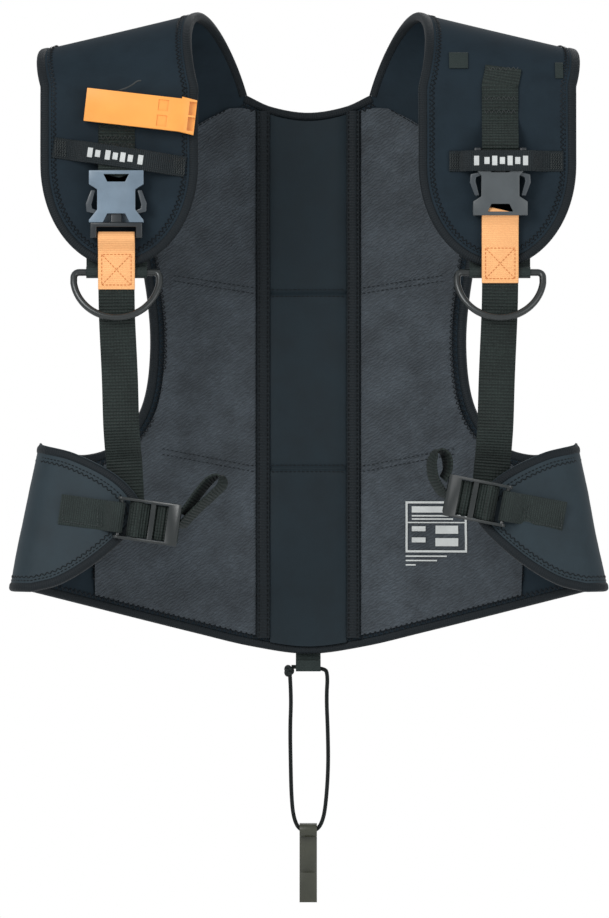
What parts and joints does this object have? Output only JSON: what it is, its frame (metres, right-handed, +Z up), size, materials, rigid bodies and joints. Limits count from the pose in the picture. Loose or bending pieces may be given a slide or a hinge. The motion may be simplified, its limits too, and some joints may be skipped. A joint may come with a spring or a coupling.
{
  "type": "diver's ballast harness",
  "caption": "Neoprene back harness with shoulder pads, quick-release buckles, D-rings, folding waist wings, whistle and a crotch cord with belt hook.",
  "frame": {"origin": "midway between the undersides of the two shoulder crests, where a hanger carries the harness", "axes": "+X towards the wearer's left seen from the front, +Y towards the back panel, +Z up"},
  "size_m": [0.4762, 0.1569, 0.7118],
  "materials": {
    "neoprene": "smooth nylon-faced neoprene",
    "woven_lining": "ribbed stretch weave",
    "binding_tape": "stretch binding tape",
    "black_webbing": "ribbed webbing",
    "orange_webbing": "ribbed orange webbing",
    "coated_steel": "black coated steel",
    "buckle_plastic": "satin black plastic",
    "hardware_plastic": "satin black plastic",
    "whistle_plastic": "moulded orange plastic",
    "elastic_cord": "braided elastic cord"
  },
  "bodies": {
    "harness": {"back_panel": "neoprene", "neck_binding": "binding_tape", "hem_binding": "binding_tape", "armhole_binding_left": "binding_tape", "armhole_binding_right": "binding_tape", "spine_pad": "neoprene", "lining_left": "woven_lining", "lining_right": "woven_lining", "spine_tape_left": "binding_tape", "spine_tape_right": "binding_tape", "ballast_pocket_upper": "neoprene", "ballast_pocket_middle": "neoprene", "ballast_pocket_lower": "neoprene", "pocket_mouth_trim": "binding_tape", "shoulder_yoke_left": "neoprene", "shoulder_yoke_right": "neoprene", "anchor_tops": "black_webbing", "hose_loops": "black_webbing", "hem_tab": "black_webbing", "strap_webbing_left": "black_webbing", "strap_webbing_right": "black_webbing"},
    "shoulder_left": {"shoulder_pad_left": "neoprene", "pad_binding_left": "binding_tape", "anchor_webbing_left": "black_webbing", "keeper_band_left": "black_webbing", "ring_loop_left": "black_webbing", "buckle_socket_left": "buckle_plastic"},
    "release_left": {"buckle_plug_left": "buckle_plastic", "grab_tab_left": "orange_webbing"},
    "prong_outer_left": {"buckle_prong_outer_left": "buckle_plastic"},
    "prong_inner_left": {"buckle_prong_inner_left": "buckle_plastic"},
    "ring_left": {"d_ring_left": "coated_steel"},
    "wing_left": {"waist_wing_left": "neoprene", "wing_binding_left": "binding_tape", "wing_tab_left": "black_webbing"},
    "adjuster_left": {"ladder_lock_left": "hardware_plastic", "webbing_tail_left": "black_webbing"},
    "shoulder_right": {"shoulder_pad_right": "neoprene", "pad_binding_right": "binding_tape", "anchor_webbing_right": "black_webbing", "keeper_band_right": "black_webbing", "ring_loop_right": "black_webbing", "buckle_plug_right": "hardware_plastic"},
    "release_right": {"buckle_socket_right": "hardware_plastic", "grab_tab_right": "orange_webbing"},
    "prong_outer_right": {"buckle_prong_outer_right": "hardware_plastic"},
    "prong_inner_right": {"buckle_prong_inner_right": "hardware_plastic"},
    "ring_right": {"d_ring_right": "coated_steel"},
    "wing_right": {"waist_wing_right": "neoprene", "wing_binding_right": "binding_tape", "wing_tab_right": "black_webbing"},
    "adjuster_right": {"ladder_lock_right": "hardware_plastic", "webbing_tail_right": "black_webbing"},
    "whistle": {"whistle_body": "whistle_plastic", "whistle_clip": "hardware_plastic"},
    "cord": {"crotch_cord": "elastic_cord", "cord_knot": "elastic_cord"},
    "hook": {"belt_hook": "hardware_plastic"}
  },
  "joints": [
    {"name": "shoulder_hinge_left", "type": "hinge", "parent": "harness", "child": "shoulder_left", "pos_m": [-0.149, -0.066, -0.0585], "axis": [-1, 0, 0], "range_deg": [0, 40], "stiffness_Nm_per_rad": 0.2, "deforming": ["strap_webbing_left"]},
    {"name": "wing_hinge_left", "type": "hinge", "parent": "harness", "child": "wing_left", "pos_m": [-0.2023, 0.011, -0.338], "axis": [-0.1946, -0.1272, -0.9726], "range_deg": [0, 75], "stiffness_Nm_per_rad": 0.3, "deforming": ["strap_webbing_left"]},
    {"name": "buckle_release_left", "type": "slide", "parent": "shoulder_left", "child": "release_left", "axis": [0, 0, -1], "range_m": [0, 0.03], "deforming": ["strap_webbing_left", "buckle_prong_outer_left", "buckle_prong_inner_left"]},
    {"name": "prong_outer_left", "type": "hinge", "parent": "release_left", "child": "prong_outer_left", "pos_m": [-0.16375, -0.074, -0.164], "axis": [0, 1, 0], "range_deg": [0, 10], "stiffness_Nm_per_rad": 0.5},
    {"name": "prong_inner_left", "type": "hinge", "parent": "release_left", "child": "prong_inner_left", "pos_m": [-0.13825, -0.074, -0.164], "axis": [0, -1, 0], "range_deg": [0, 10], "stiffness_Nm_per_rad": 0.5},
    {"name": "ring_swing_left", "type": "hinge", "parent": "shoulder_left", "child": "ring_left", "pos_m": [-0.151, -0.0635, -0.203], "axis": [-1, 0, 0], "range_deg": [0, 110]},
    {"name": "adjuster_hinge_left", "type": "hinge", "parent": "wing_left", "child": "adjuster_left", "pos_m": [-0.14859, -0.065, -0.39604], "axis": [-0.1392, 0, -0.9903], "range_deg": [0, 35], "stiffness_Nm_per_rad": 0.02},
    {"name": "shoulder_hinge_right", "type": "hinge", "parent": "harness", "child": "shoulder_right", "pos_m": [0.149, -0.066, -0.0585], "axis": [-1, 0, 0], "range_deg": [0, 40], "stiffness_Nm_per_rad": 0.2, "deforming": ["strap_webbing_right"]},
    {"name": "wing_hinge_right", "type": "hinge", "parent": "harness", "child": "wing_right", "pos_m": [0.2023, 0.011, -0.338], "axis": [-0.1946, 0.1272, 0.9726], "range_deg": [0, 75], "stiffness_Nm_per_rad": 0.3, "deforming": ["strap_webbing_right"]},
    {"name": "buckle_release_right", "type": "slide", "parent": "shoulder_right", "child": "release_right", "axis": [0, 0, -1], "range_m": [0, 0.03], "deforming": ["strap_webbing_right", "buckle_prong_outer_right", "buckle_prong_inner_right"]},
    {"name": "prong_outer_right", "type": "hinge", "parent": "shoulder_right", "child": "prong_outer_right", "pos_m": [0.16375, -0.074, -0.1175], "axis": [0, 1, 0], "range_deg": [0, 10], "stiffness_Nm_per_rad": 0.5},
    {"name": "prong_inner_right", "type": "hinge", "parent": "shoulder_right", "child": "prong_inner_right", "pos_m": [0.13825, -0.074, -0.1175], "axis": [0, -1, 0], "range_deg": [0, 10], "stiffness_Nm_per_rad": 0.5},
    {"name": "ring_swing_right", "type": "hinge", "parent": "shoulder_right", "child": "ring_right", "pos_m": [0.151, -0.0635, -0.203], "axis": [-1, 0, 0], "range_deg": [0, 110]},
    {"name": "adjuster_hinge_right", "type": "hinge", "parent": "wing_right", "child": "adjuster_right", "pos_m": [0.15491, -0.064, -0.38706], "axis": [0.1908, 0, 0.9816], "range_deg": [0, 35], "stiffness_Nm_per_rad": 0.02},
    {"name": "whistle_slide", "type": "slide", "parent": "shoulder_left", "child": "whistle", "axis": [0, 0, 1], "range_m": [-0.008, 0.002]},
    {"name": "cord_swing", "type": "hinge", "parent": "harness", "child": "cord", "pos_m": [0, 0.0685, -0.5174], "axis": [1, 0, 0], "range_deg": [-90, 60]},
    {"name": "hook_swing", "type": "hinge", "parent": "cord", "child": "hook", "pos_m": [0, 0.0685, -0.6488], "axis": [1, 0, 0], "range_deg": [-90, 90]}
  ]
}
